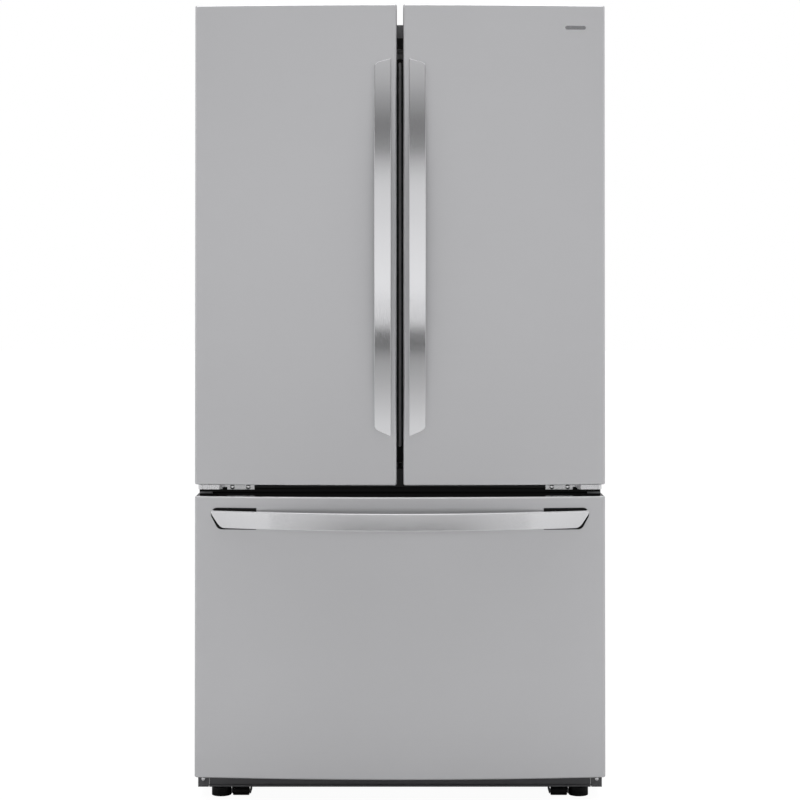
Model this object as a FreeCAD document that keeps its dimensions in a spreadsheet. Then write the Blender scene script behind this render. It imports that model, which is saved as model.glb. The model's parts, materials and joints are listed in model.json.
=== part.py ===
"""French door refrigerator, free-standing, with a bottom freezer drawer.

The frame: +X is the right-hand side of the front, +Y is the back, +Z is up, millimetres.
The origin is on the floor, under the middle of the whole object's box.
"""
import FreeCAD, Part, Sketcher
import math, os, re
from FreeCAD import Vector

DIMS = {
    # cabinet
    "wide": 908, "case_wide": 904, "case_front": -283, "case_back": 459.5, "case_foot": 22,
    "case_top": 1735, "sheet": 1, "flange": 30, "liner": 2, "foam_front": -280, "foam_foot": 62,
    "inner_half": 409, "fresh_foot": 735, "fresh_top": 1680, "fresh_rear": 405, "ice_foot": 95,
    "ice_top": 650, "ice_rear": 400, "hump_foot": 170, "hump_head": 215, "ledge": 345,
    "machine_gap": 50, "crease": 9,
    # doors and drawer
    "door_gap": 14, "door_rear": -297, "door_front": -372, "bulge": 25, "door_top": 1767,
    "door_foot": 706.5, "drawer_top": 681, "drawer_foot": 60, "skin": 1.2, "bend": 6, "lip": 5,
    "fold": 4, "inset": 1.4, "cap_top": 45, "cap_low": 20, "drawer_cap": 12, "plate": 2,
    "seal_side": 431, "seal": 18, "seal_free": 10, "seal_rear": -283.3, "seal_edge": 9,
    "dike_out": 402, "dike_in": 58, "dike_w": 20, "dike_rear": -255, "dike_foot": 752,
    "dike_top": 1664, "wall": 3, "bin_rear": -190, "bin_high": 100, "bin_low": 800,
    "bin_pitch": 296,
    # hinges
    "hinge_x": 432, "hinge_y": -332, "arm_half": 12, "arm_thick": 5, "pin_top": 5, "pin_low": 6,
    "run_gap": 0.08, "notch_front": -368, "notch_foot": 1732, "notch_in": 416, "cover_top": 1768,
    "bracket_front": -267, "bracket_rear": -193, "bracket_in": 386, "hood_front": -277,
    "hood_rear": -179, "hood_in": 376, "hood_out": 447, "hood_wall": 3, "mid_foot": 693,
    "mid_top": 703.5, "mid_out": 449, "mid_in": 396, "plate_out": 389, "plate_in": 328,
    "plate_foot": 687, "plate_top": 699, "boss": 11, "groove": 2.5, "knuckle": 438.5,
    "screw_out": 377.5, "screw_in": 342, "head": 5.5, "head_thick": 2.5, "shank": 3,
    # mullion flap
    "flap_pin": 40, "flap_r": 9, "flap_right": 20, "flap_step": 5, "flap_lip": 10, "flap_foot": 748,
    "flap_top": 1657, "strip_foot": 783, "strip_top": 1650, "strip_half": 2.8, "strip_out": 1.2,
    "flap_bore": 3, "lug": 5.5, "flap_pin_long": 16,
    # handles
    "stand": 63.5, "grip_wide": 36, "grip_in": 20, "grip_foot": 815, "grip_top": 1646,
    "grip_slant": 10, "grip_slant_low": 16, "grip_thick": 15, "grip_land": 70, "grip_end": 7,
    "grip_round": 4, "grip_gap": 0.5, "bar_half": 422, "bar_slant": 26, "bar_foot": 613.5,
    "bar_top": 651, "bar_thick": 16, "bar_land": 100, "bar_end": 9, "bar_round": 9, "bar_seal": 2,
    "bar_rim": 5,
    # freezer drawer
    "basket_half": 382, "basket_front": -284, "basket_rear": 140, "basket_foot": 110,
    "basket_top": 430, "slot_pitch": 48, "slot_wide": 24, "slot_high": 40, "rail_foot": 250,
    "rail_top": 288, "rail_front": -275, "rail_rear": 160, "rail_w": 5.5, "rail_gap": 0.5,
    "tray_front": -250, "tray_rear": -20, "tray_top": 532,
    # shelves and drawers in the fresh food compartment
    "shelf_half": 408, "shelf_front": -150, "low_shelf_front": -104, "shelf_rear": 380,
    "shelf_high": 12, "glass": 4, "rim": 18, "rib": 8, "rib_high": 6, "level_pantry": 862,
    "level_crisper": 1086, "level_mid": 1290, "level_top": 1480, "box_half": 398, "box_front": -100,
    "box_rear": 300, "pantry_foot": 738, "pantry_top": 840, "crisper_foot": 864,
    "crisper_top": 1062, "crisper_gap": 6, "front_thick": 9, "pull_deep": 14, "pull_end": 60,
    "pull_high": 22, "panel_half": 140, "panel_front": -205, "panel_rear": -55, "panel_high": 16,
    # cooling
    "fan_z": 585, "fan_r": 50, "hub_r": 18, "shaft": 3, "blade": 1.6, "fan_front": 352,
    "fan_back": 374, "evap_half": 300, "evap_top": 522, "evap_y": 375, "evap_deep": 42,
    "evap_pipe": 5, "fin": 1, "turn": 34, "cover_y": 345, "cover_thick": 2, "grille_pitch": 60,
    "grille_wide": 44, "grille_high": 8, "spoke": 6, "deck": 40, "deck_thick": 3, "deck_half": 317,
    "pump_x": -210, "pump_y": 350, "pump_r": 72, "pump_foot": 62, "pump_high": 150, "dome": 24,
    "rise": 30, "stub": 4, "cfan_x": -70, "cfan_y": 345, "cfan_z": 150, "cfan_r": 66,
    "coil_left": 10, "coil_right": 280, "coil_foot": 95, "coil_top": 235, "coil_front": 290,
    "coil_rear": 420, "pipe": 3, "pan_foot": 50, "pan_top": 80, "vent_pitch": 64, "vent_wide": 48,
    "vent_foot": 90, "vent_step": 22, "vent_high": 8, "gland_x": 300, "gland_z": 271, "gland_r": 9,
    "gland_flange": 13, "gland_bore": 4.2,
    # base
    "web_foot": 30, "leg_x": 402, "leg_y": -276, "leg_r": 22, "leg_pad": 19.5, "stud": 8,
    "roll_x": 357, "roll_y": -287, "roll_r": 9.8, "roll_w": 37, "roll_z": 10.3, "back_x": 400,
    "back_y": 415, "back_r": 22, "back_w": 24, "axle": 4, "arm": 5, "trail": 30, "cheek": 2.5,
    "kick_foot": 20.5, "kick_top": 58, "kick_front": -294, "kick_half": 428.5, "kick_lip": 5,
    "bar_web": 40, "kick_screw": 38.5, "corner_out": 453.5, "corner_in": 430,
}

doc = FreeCAD.newDocument("french_door_refrigerator")
dims = doc.addObject("Spreadsheet::Sheet", "dims")
for row, (alias, size) in enumerate(DIMS.items(), start=1):
    dims.set(f"A{row}", alias)
    dims.set(f"B{row}", str(size))
    dims.setAlias(f"B{row}", alias)
doc.recompute()

# formulas that several sub-parts share
BULGE_R = "((wide^2/4 + bulge^2)/(2*bulge))"
CROWN = "(door_front - bulge)"
GRIP_FRONT = f"({CROWN} - stand)"
BLADE_PITCH = 28
NODES = []


def bound(formula):
    """The formula with every alias read from the sheet."""
    def swap(word):
        return "dims." + word.group() if word.group() in DIMS else word.group()
    return re.sub(r"[a-z][a-z_]*", swap, str(formula))


def value(formula):
    return float(dims.evalExpression(bound(formula)))


def ordered(low, high):
    return (low, high) if value(low) <= value(high) else (high, low)


def front_y(x, inward="0"):
    """The bowed front that both doors and the drawer share, moved inward."""
    return f"{CROWN} + {inward} + {BULGE_R} - sqrt({BULGE_R}^2 - ({x})^2)"


# ---- primitives and booleans ----

def box(x, y, z):
    """A Part::Box between pairs of formulas, given in either order."""
    piece = doc.addObject("Part::Box", "box")
    for side, prop, ends in (("x", "Length", x), ("y", "Width", y), ("z", "Height", z)):
        low, high = ordered(*ends)
        piece.setExpression(f"Placement.Base.{side}", bound(low))
        piece.setExpression(prop, bound(f"({high}) - ({low})"))
    return piece


TURNS = {
    "x": FreeCAD.Rotation(Vector(0, 1, 0), 90),
    "y": FreeCAD.Rotation(Vector(1, 0, 0), -90),
    "z": FreeCAD.Rotation(),
}


def rod(axis, centre, radius, ends):
    """A Part::Cylinder along an axis; centre gives the other two coordinates."""
    low, high = ordered(*ends)
    piece = doc.addObject("Part::Cylinder", "rod")
    piece.Placement.Rotation = TURNS[axis]
    place = list(centre)
    place.insert("xyz".index(axis), low)
    for side, formula in zip("xyz", place):
        piece.setExpression(f"Placement.Base.{side}", bound(formula))
    piece.setExpression("Radius", bound(radius))
    piece.setExpression("Height", bound(f"({high}) - ({low})"))
    return piece


def ball(centre, radius):
    piece = doc.addObject("Part::Sphere", "ball")
    for side, formula in zip("xyz", centre):
        piece.setExpression(f"Placement.Base.{side}", bound(formula))
    piece.setExpression("Radius", bound(radius))
    return piece


def join(pieces):
    if len(pieces) == 1:
        return pieces[0]
    whole = doc.addObject("Part::MultiFuse", "join")
    whole.Shapes = pieces
    return whole


def cut(base, tools):
    left = doc.addObject("Part::Cut", "cut")
    left.Base = base
    left.Tool = join(tools)
    return left


def group(pieces):
    """Separate solids that share one node."""
    several = doc.addObject("Part::Compound", "group")
    several.Links = pieces
    return several


def node(label, piece):
    piece.Label = label
    NODES.append(piece)
    return piece


def tray(x, y, z, wall="wall"):
    """A box with an open top."""
    (x0, x1), (y0, y1), (z0, z1) = ordered(*x), ordered(*y), ordered(*z)
    room = box((f"{x0} + {wall}", f"{x1} - {wall}"), (f"{y0} + {wall}", f"{y1} - {wall}"),
               (f"{z0} + {wall}", f"{z1} + {wall}"))
    return cut(box(x, y, z), [room])


def ring(x, y, z, rims):
    """A rectangular frame in the XZ plane; rims are the widths (left, right, bottom, top)."""
    (x0, x1), (z0, z1) = ordered(*x), ordered(*z)
    y0, y1 = ordered(*y)
    left, right, bottom, top = rims
    hole = box((f"{x0} + {left}", f"{x1} - {right}"), (f"{y0} - 1", f"{y1} + 1"),
               (f"{z0} + {bottom}", f"{z1} - {top}"))
    return cut(box(x, y, z), [hole])


# ---- PartDesign bodies ----

def new_body():
    return doc.addObject("PartDesign::Body", "body")


def sketch(body, role, points, arcs, start):
    """A closed outline on one of the body's own planes, start along the plane's normal.

    arcs maps the index of an outline side to (radius, point on the arc)."""
    drawing = body.newObject("Sketcher::SketchObject", "outline")
    plane = next(f for f in body.Origin.OriginFeatures if f.Role == role)
    drawing.AttachmentSupport = [(plane, "")]
    drawing.MapMode = "FlatFace"
    drawing.setExpression(".AttachmentOffset.Base.z", bound(start))
    spots = [Vector(value(a), value(b), 0) for a, b in points]
    count = len(spots)
    ends = []
    for i, spot in enumerate(spots):
        following = spots[(i + 1) % count]
        if i in arcs:
            through = Vector(*[value(c) for c in arcs[i][1]], 0)
            forward = (through - spot).cross(following - spot).z > 0
            first, last = (spot, following) if forward else (following, spot)
            drawing.addGeometry(Part.Arc(first, through, last), False)
            ends.append((1, 2) if forward else (2, 1))
        else:
            drawing.addGeometry(Part.LineSegment(spot, following), False)
            ends.append((1, 2))
    for i in range(count):
        j = (i + 1) % count
        drawing.addConstraint(Sketcher.Constraint("Coincident", i, ends[i][1], j, ends[j][0]))
    for i, point in enumerate(points):
        for kind, formula in zip(("DistanceX", "DistanceY"), point):
            rule = Sketcher.Constraint(kind, -1, 1, i, ends[i][0], value(formula))
            number = drawing.addConstraint(rule)
            drawing.setExpression(f"Constraints[{number}]", bound(formula))
    for i, (radius, _) in arcs.items():
        number = drawing.addConstraint(Sketcher.Constraint("Radius", i, value(radius)))
        drawing.setExpression(f"Constraints[{number}]", bound(radius))
    return drawing


def pad(body, role, points, start, length, arcs=None):
    drawing = sketch(body, role, points, arcs or {}, start)
    feature = body.newObject("PartDesign::Pad", "pad")
    feature.Profile = drawing
    feature.setExpression("Length", bound(length))
    body.Tip = feature
    doc.recompute()
    return feature


def pocket(body, role, points, start, length, arcs=None):
    """Cuts along the plane's normal from start."""
    before = body.Shape.Volume
    drawing = sketch(body, role, points, arcs or {}, start)
    feature = body.newObject("PartDesign::Pocket", "pocket")
    feature.Profile = drawing
    feature.Reversed = True
    feature.setExpression("Length", bound(length))
    body.Tip = feature
    doc.recompute()
    if body.Shape.Volume > before - 1:
        raise RuntimeError("a pocket cut nothing")
    return feature


def fillet(body, radius, chosen):
    """Rounds the edges of the tip that chosen(edge) picks."""
    doc.recompute()
    base = body.Tip
    names = [f"Edge{i}" for i, edge in enumerate(base.Shape.Edges, start=1) if chosen(edge)]
    if not names:
        raise RuntimeError("no edge to round")
    feature = body.newObject("PartDesign::Fillet", "fillet")
    feature.Base = (base, names)
    feature.setExpression("Radius", bound(radius))
    body.Tip = feature
    doc.recompute()
    return feature


def middle(edge):
    return edge.valueAt((edge.FirstParameter + edge.LastParameter) / 2)


def along(edge, axis):
    """True for a straight edge along x, y or z."""
    if not isinstance(edge.Curve, (Part.Line, Part.LineSegment)):
        return False
    step = edge.Vertexes[-1].Point - edge.Vertexes[0].Point
    return abs(abs(step["xyz".index(axis)]) - step.Length) < 1e-6


# ---- cabinet ----

def build_case():
    half = "case_wide/2"
    sides = [box((f"{s}*{half}", f"{s}*({half} - sheet)"), ("case_front", "case_back"),
                 ("case_foot", "case_top")) for s in (-1, 1)]
    roof = box((f"-{half}", half), ("case_front", "case_back"), ("case_top - sheet", "case_top"))
    lips = [box((f"{s}*{half}", f"{s}*({half} - flange)"), ("case_front", "case_front + sheet"),
                ("foam_foot", "case_top")) for s in (-1, 1)]
    brow = box((f"-{half}", half), ("case_front", "case_front + sheet"),
               ("case_top - flange", "case_top"))
    node("outer_case", join(sides + [roof] + lips + [brow]))

    sheet_back = box((f"-{half}", half), ("case_back", "case_back + sheet"),
                     ("ledge - machine_gap", "case_top"))
    node("back_panel", cut(sheet_back, [
        box((f"{x} - crease", f"{x} + crease"), ("case_back + sheet/2", "case_back + 2*sheet"),
            ("ledge + crease", "case_top - machine_gap"))
        for x in ("-case_wide/4", "0", "case_wide/4")]))


def ice_outline(grow):
    """The freezer's side outline (y, z), grown outward all round but at its open front."""
    return [
        ("case_front - 1", f"ice_foot - {grow}"),
        (f"hump_foot + {grow}", f"ice_foot - {grow}"),
        (f"hump_head + {grow}", f"ledge - {grow}"),
        (f"ice_rear + {grow}", f"ledge - {grow}"),
        (f"ice_rear + {grow}", f"ice_top + {grow}"),
        ("case_front - 1", f"ice_top + {grow}"),
    ]


def ice_room(grow):
    body = new_body()
    pad(body, "YZ_Plane", ice_outline(grow), f"-inner_half - {grow}", f"2*(inner_half + {grow})")
    return body


def fresh_room(grow):
    return box((f"-inner_half - {grow}", f"inner_half + {grow}"),
               ("case_front - 1", f"fresh_rear + {grow}"),
               (f"fresh_foot - {grow}", f"fresh_top + {grow}"))


def machine_room():
    """The space behind the freezer's hump."""
    body = new_body()
    pad(body, "YZ_Plane", [
        ("hump_foot + machine_gap", "case_foot"),
        ("hump_foot + machine_gap", "foam_foot"),
        ("hump_head + machine_gap", "ledge - machine_gap"),
        ("case_back + 2", "ledge - machine_gap"),
        ("case_back + 2", "case_foot"),
    ], "-case_wide/2", "case_wide")
    return body


def build_foam():
    block = box(("-case_wide/2 + sheet", "case_wide/2 - sheet"), ("foam_front", "case_back"),
                ("foam_foot", "case_top - sheet"))
    node("cabinet_foam", cut(block, [fresh_room("liner"), ice_room("liner"), machine_room()]))


def build_liners():
    lip_side = "(case_wide/2 - flange)"
    front = ("case_front", "case_front + liner")
    inside = ("case_front", "fresh_rear + liner")
    shell = box(("-inner_half - liner", "inner_half + liner"), inside,
                ("fresh_foot - liner", "fresh_top + liner"))
    lip_fresh = box((f"-{lip_side}", lip_side), front, ("fresh_foot - liner", "case_top - flange"))
    hollow = cut(join([shell, lip_fresh]), [fresh_room("0")])
    ribs = []
    for level in ("level_pantry", "level_crisper", "level_mid", "level_top"):
        for s in (-1, 1):
            ribs.append(box((f"{s}*inner_half", f"{s}*(inner_half - rib)"),
                            ("low_shelf_front + rim", "shelf_rear"),
                            (f"{level} - shelf_high - rib_high", f"{level} - shelf_high")))
    node("fresh_food_liner", join([hollow] + ribs))

    lip_ice = box((f"-{lip_side}", lip_side), front, ("foam_foot", "ice_top + liner"))
    outer = cut(ice_room("liner"), [box(("-inner_half - 9", "inner_half + 9"),
                                        ("case_front - 9", "case_front"), ("0", "case_top"))])
    node("freezer_liner", cut(join([outer, lip_ice]), [ice_room("0")]))

    node("centre_rail", box((f"-{lip_side}", lip_side), ("case_front", "foam_front"),
                            ("ice_top + liner", "fresh_foot - liner")))


def build_shelves():
    glasses = []
    frames = []
    levels = {"level_pantry": "low_shelf_front", "level_crisper": "low_shelf_front",
              "level_mid": "shelf_front", "level_top": "shelf_front"}
    for level, front in levels.items():
        outer = box(("-shelf_half", "shelf_half"), (front, "shelf_rear"),
                    (f"{level} - shelf_high", level))
        seat = box(("-shelf_half + rim", "shelf_half - rim"),
                   (f"{front} + rim", "shelf_rear - rim"), (f"{level} - shelf_high - 1",
                                                            f"{level} + 1"))
        glass_x = ("-shelf_half + rim/2", "shelf_half - rim/2")
        glass_y = (f"{front} + rim/2", "shelf_rear - rim/2")
        rebate = box(glass_x, glass_y, (f"{level} - glass", f"{level} + 1"))
        frames.append(cut(outer, [seat, rebate]))
        glasses.append(box(glass_x, glass_y, (f"{level} - glass", level)))
    node("glass_shelves", group(glasses))
    node("shelf_frames", group(frames))


def build_control_panel():
    """The flat housing under the roof that holds the controls and the lamp."""
    node("control_panel", box(("-panel_half", "panel_half"), ("panel_front", "panel_rear"),
                              ("fresh_top - panel_high", "fresh_top")))


def build_rails():
    """Telescopic slides of the freezer drawer: outer, intermediate and inner members."""
    outer = []
    between = []
    inner = []
    for s in (-1, 1):
        wall = "inner_half"
        steps = ["0", "rail_w", "rail_w + rail_gap", "2*rail_w + rail_gap",
                 "2*rail_w + 2*rail_gap", "3*rail_w + 2*rail_gap"]
        x = [f"{s}*({wall} - ({step}))" for step in steps]
        outer.append(box((x[0], x[1]), ("rail_front", "rail_rear"), ("rail_foot", "rail_top")))
        for edge in (("rail_foot", "rail_foot + 3"), ("rail_top - 3", "rail_top")):
            outer.append(box((x[1], x[2]), ("rail_front", "rail_rear"), edge))
        between.append(box((x[2], x[3]), ("rail_front + 2", "rail_rear - 4"),
                           ("rail_foot + 4", "rail_top - 4")))
        inner.append(box((x[4], x[5]), ("door_rear", "rail_rear - 16"),
                         ("rail_foot + 8", "rail_top - 8")))
    node("freezer_rails_outer", join(outer))
    node("freezer_rails_middle", group(between))
    node("freezer_rails_inner", group(inner))


# ---- hinges ----

def build_top_hinges():
    """A plate on the cabinet's roof with an arm over the door and a pin down into its cap."""
    brackets = []
    covers = []
    for s in (-1, 1):
        left, right = f"{s}*hinge_x - arm_half", f"{s}*hinge_x + arm_half"
        arm = box((left, right), ("hinge_y", "bracket_rear"),
                  ("case_top", "case_top + arm_thick"))
        nose = rod("z", (f"{s}*hinge_x", "hinge_y"), "arm_half",
                   ("case_top", "case_top + arm_thick"))
        foot = box((f"{s}*(hinge_x + arm_half)", f"{s}*bracket_in"),
                   ("bracket_front", "bracket_rear"), ("case_top", "case_top + arm_thick"))
        pin = rod("z", (f"{s}*hinge_x", "hinge_y"), "pin_top",
                  ("notch_foot - 9", "case_top + 1"))
        brackets.append(join([arm, nose, foot, pin]))

        top = "cover_top"
        seat = "case_top + arm_thick"
        hood_nose = rod("z", (f"{s}*hinge_x", "hinge_y"), "arm_half", (seat, top))
        hood_arm = box((left, right), ("hinge_y", "bracket_front"), (seat, top))
        hood = box((f"{s}*hood_out", f"{s}*hood_in"), ("hood_front", "hood_rear"),
                   ("case_top", top))
        room = box((f"{s}*(hood_out - hood_wall + 0.5)", f"{s}*(hood_in + hood_wall)"),
                   ("hood_front - 1", "hood_rear - hood_wall"),
                   ("case_top - 1", f"{top} - hood_wall"))
        covers.append(join([cut(hood, [room]), hood_nose, hood_arm]))
    return brackets, covers


def build_mid_hinges():
    """An arm on the centre rail with a pin up into each door's bottom cap."""
    arms = []
    for s in (-1, 1):
        body = new_body()
        nose_y = "(hinge_y - arm_half)"
        pad(body, "XY_Plane", [
            (f"{s}*plate_in", "case_front"),
            (f"{s}*plate_in", "case_front - 3"),
            (f"{s}*mid_in", "case_front - 3"),
            (f"{s}*mid_in", f"{nose_y} + 6"),
            (f"{s}*(mid_in + 6)", nose_y),
            (f"{s}*(mid_out - 6)", nose_y),
            (f"{s}*mid_out", f"{nose_y} + 6"),
            (f"{s}*mid_out", "hinge_y + arm_half"),
            (f"{s}*(mid_in + 14)", "case_front"),
        ], "mid_foot", "mid_top - mid_foot")
        flange = box((f"{s}*plate_out", f"{s}*plate_in"), ("case_front", "case_front - 3"),
                     ("plate_foot", "plate_top"))
        pin = rod("z", (f"{s}*hinge_x", "hinge_y"), "pin_low", ("mid_top - 2", "mid_top + 22"))
        holes = [rod("y", (f"{s}*{x}", "(plate_foot + plate_top)/2"), "shank",
                     ("case_front - 4", "case_front + 1")) for x in ("screw_out", "screw_in")]
        holes.append(box((f"{s}*knuckle", f"{s}*(knuckle + groove)"),
                         (f"{nose_y} - 1", f"{nose_y} + 3"), ("mid_foot - 1", "mid_top + 1")))
        arms.append(cut(join([body, flange, pin]), holes))
    node("middle_hinges", group(arms))


def build_screws():
    """Every screw of the cabinet: middle hinges, top hinges and kick plate corners."""
    screws = []
    for s in (-1, 1):
        for x in ("screw_out", "screw_in"):
            spot = (f"{s}*{x}", "(plate_foot + plate_top)/2")
            screws.append(rod("y", spot, "head", ("case_front - 3 - head_thick",
                                                  "case_front - 3")))
        spot = (f"{s}*(corner_in + corner_out)/2", "kick_screw")
        screws.append(rod("y", spot, "head - 1", ("kick_front - head_thick", "kick_front")))
        for y in ("bracket_front + 24", "bracket_rear - 15"):
            spot = (f"{s}*(bracket_in + 21)", y)
            screws.append(rod("z", spot, "head", ("case_top + arm_thick",
                                                  "case_top + arm_thick + head_thick")))
    node("cabinet_screws", group(screws))


# ---- doors ----

def panel_outline(x0, x1, inward, rear):
    """A door's plan outline, moved inward from the skin, as points and its front arc."""
    a, b = f"({x0}) + {inward}", f"({x1}) - {inward}"
    between = f"(({a}) + ({b}))/2"
    points = [(a, rear), (b, rear), (b, front_y(b, inward)), (a, front_y(a, inward))]
    return points, {2: (f"({BULGE_R} - {inward})", (between, front_y(between, inward)))}


def front_corner(edge):
    return along(edge, "z") and middle(edge).y < value("door_rear") - 30


def panel_block(x0, x1, z0, z1, inward, rear, fold=None, folded=()):
    """A door-shaped block with rounded front corners, and rounded edges at the folded heights."""
    body = new_body()
    points, arcs = panel_outline(x0, x1, inward, rear)
    pad(body, "XY_Plane", points, z0, f"({z1}) - ({z0})", arcs)
    fillet(body, f"bend - {inward}", front_corner)
    if fold:
        ends = [value(z) for z in folded]
        front = value("door_front + bend")
        fillet(body, fold, lambda e: not along(e, "z") and middle(e).y < front
               and min(abs(middle(e).z - end) for end in ends) < 0.01)
    return body


def build_skin(label, x0, x1, z0, z1, notches):
    """Bent stainless sheet: front, side returns and narrow lips at the top and bottom."""
    whole = panel_block(x0, x1, z0, z1, "0", "door_rear", "fold", (z0, z1))
    inner = (f"{z0} + skin", f"{z1} - skin")
    room = panel_block(x0, x1, *inner, "skin", "door_rear + 1", "fold - skin", inner)
    mouth = panel_block(x0, x1, f"{z0} - 1", f"{z1} + 1", "lip", "door_rear + 1")
    node(label, cut(whole, [room, mouth] + notches))


def dike_core(s):
    """The inside of the raised ridge on a door's liner."""
    core = box((f"{s}*(dike_in + liner)", f"{s}*(dike_out - liner)"),
               ("door_rear - plate - 1", "dike_rear - liner"),
               ("dike_foot + liner", "dike_top - liner"))
    middle_room = box((f"{s}*(dike_in + dike_w - liner)", f"{s}*(dike_out - dike_w + liner)"),
                      ("door_rear - plate - 2", "dike_rear"),
                      ("dike_foot + dike_w - liner", "dike_top - dike_w + liner"))
    return cut(core, [middle_room])


def build_door(side, s):
    """One upper door: s is -1 for the left one and 1 for the right one."""
    free, outer = f"{s}*door_gap/2", f"{s}*wide/2"
    x0, x1 = ordered(free, outer)

    def notch():
        return box((f"{s}*(wide/2 + 1)", f"{s}*notch_in"), ("notch_front", "door_rear + 2"),
                   ("notch_foot", "door_top + 1"))

    build_skin(f"{side}_door_skin", x0, x1, "door_foot", "door_top", [notch()])

    top = panel_block(x0, x1, "door_top - cap_top", "door_top - skin", "inset", "door_rear",
                      "fold - skin", ("door_top - skin",))
    bore = rod("z", (f"{s}*hinge_x", "hinge_y"), "pin_top + run_gap",
               ("door_top - cap_top - 1", "door_top"))
    foot = panel_block(x0, x1, "door_foot + skin", "door_foot + cap_low", "inset", "door_rear",
                       "fold - skin", ("door_foot + skin",))
    boss = rod("z", (f"{s}*hinge_x", "hinge_y"), "boss", ("mid_top + 0.5", "door_foot + 2"))
    socket = rod("z", (f"{s}*hinge_x", "hinge_y"), "pin_low + run_gap",
                 ("mid_top", "door_foot + cap_low + 1"))
    node(f"{side}_door_caps", group([cut(top, [notch(), bore]), cut(join([foot, boss]),
                                                                    [socket])]))

    ridge_x = (f"{s}*dike_in", f"{s}*dike_out")
    ridge_z = ("dike_foot", "dike_top")
    rims = ("dike_w",) * 4
    foam = panel_block(x0, x1, "door_foot + cap_low", "door_top - cap_top", "inset",
                       "door_rear - plate")
    node(f"{side}_door_foam", join([foam, dike_core(s)]))

    sheet = box((f"{x0} + inset", f"{x1} - inset"), ("door_rear - plate", "door_rear"),
                ("door_foot + cap_low", "door_top - cap_top"))
    ridge = ring(ridge_x, ("door_rear - plate", "dike_rear"), ridge_z, rims)
    lining = [cut(join([sheet, ridge]), [dike_core(s)])]
    if s < 0:
        lining += mullion_lugs()
    node(f"{side}_door_liner", join(lining))

    free_x, far_x = f"{s}*seal_edge", f"{s}*seal_side"
    sides = ("seal", "seal_free") if s < 0 else ("seal_free", "seal")
    node(f"{side}_door_gasket", ring((free_x, far_x), ("door_rear", "seal_rear"),
                                     ("door_foot + 8.5", "notch_foot - 1"),
                                     sides + ("seal", "seal")))

    bins = []
    for i in range(3):
        low = f"bin_low + {i}*bin_pitch"
        bins.append(tray((f"{s}*(dike_in + dike_w + 0.5)", f"{s}*(dike_out - dike_w - 0.5)"),
                         ("door_rear + 0.5", "bin_rear"), (low, f"{low} + bin_high")))
    node(f"{side}_door_bins", group(bins))
    build_grip(side, s)


def mullion_lugs():
    """Two lugs of the left door with the pins that the flap folds about."""
    lugs = []
    for low, high, pin in (
            ("flap_top + 0.5", "flap_top + lug", ("flap_top - flap_pin_long", "flap_top + 2")),
            ("flap_foot - lug", "flap_foot - 0.5", ("flap_foot - 2", "flap_foot + flap_pin_long"))):
        lugs.append(box(("-flap_pin - flap_r + 1", "-flap_pin + flap_r - 1"),
                        ("door_rear - plate", "case_front + 2*flap_r"), (low, high)))
        lugs.append(rod("z", ("-flap_pin", "case_front + flap_r"), "flap_bore", pin))
    return lugs


def build_mullion():
    """The folding flap between the doors, its round edge about the pivot, and its strip."""
    body = new_body()
    pad(body, "XY_Plane", [
        ("-flap_pin", "case_front"),
        ("flap_right", "case_front"),
        ("flap_right", "case_front + flap_lip"),
        ("flap_step", "case_front + flap_lip"),
        ("flap_step", "case_front + 2*flap_r"),
        ("-flap_pin", "case_front + 2*flap_r"),
    ], "flap_foot", "flap_top - flap_foot")
    pivot = ("-flap_pin", "case_front + flap_r")
    edge = rod("z", pivot, "flap_r", ("flap_foot", "flap_top"))
    bores = [rod("z", pivot, "flap_bore + run_gap", ends) for ends in (
        ("flap_top - flap_pin_long - 1", "flap_top + 1"),
        ("flap_foot - 1", "flap_foot + flap_pin_long + 1"))]
    node("mullion_flap", cut(join([body, edge]), bores))

    strip = box(("-strip_half", "strip_half"), ("case_front - strip_out", "case_front"),
                ("strip_foot + strip_half", "strip_top - strip_half"))
    tips = [rod("y", ("0", z), "strip_half", ("case_front - strip_out", "case_front"))
            for z in ("strip_foot + strip_half", "strip_top - strip_half")]
    node("mullion_trim_strip", join([strip] + tips))


# ---- handles ----

def bow_outline(mid, half, crown, face, thick, land, end):
    """Side outline of a bowed grip as (lengthwise, outward) points with its two arcs.

    It lies on the face at both lands and stands clear of it between them."""
    tip = f"({face}) - {end}"
    rise = f"(({tip}) - ({crown}))"
    outer_r = f"((({half})^2 + {rise}^2)/(2*{rise}))"
    span = f"(({half}) - {land})"
    under = f"(({face}) - ({crown}) - {thick})"
    inner_r = f"(({span}^2 + {under}^2)/(2*{under}))"
    points = [
        (f"{mid} - {half}", face),
        (f"{mid} - {half}", tip),
        (f"{mid} + {half}", tip),
        (f"{mid} + {half}", face),
        (f"{mid} + {span}", face),
        (f"{mid} - {span}", face),
    ]
    arcs = {1: (outer_r, (mid, crown)), 4: (inner_r, (mid, f"({crown}) + {thick}"))}
    return points, arcs


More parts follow.
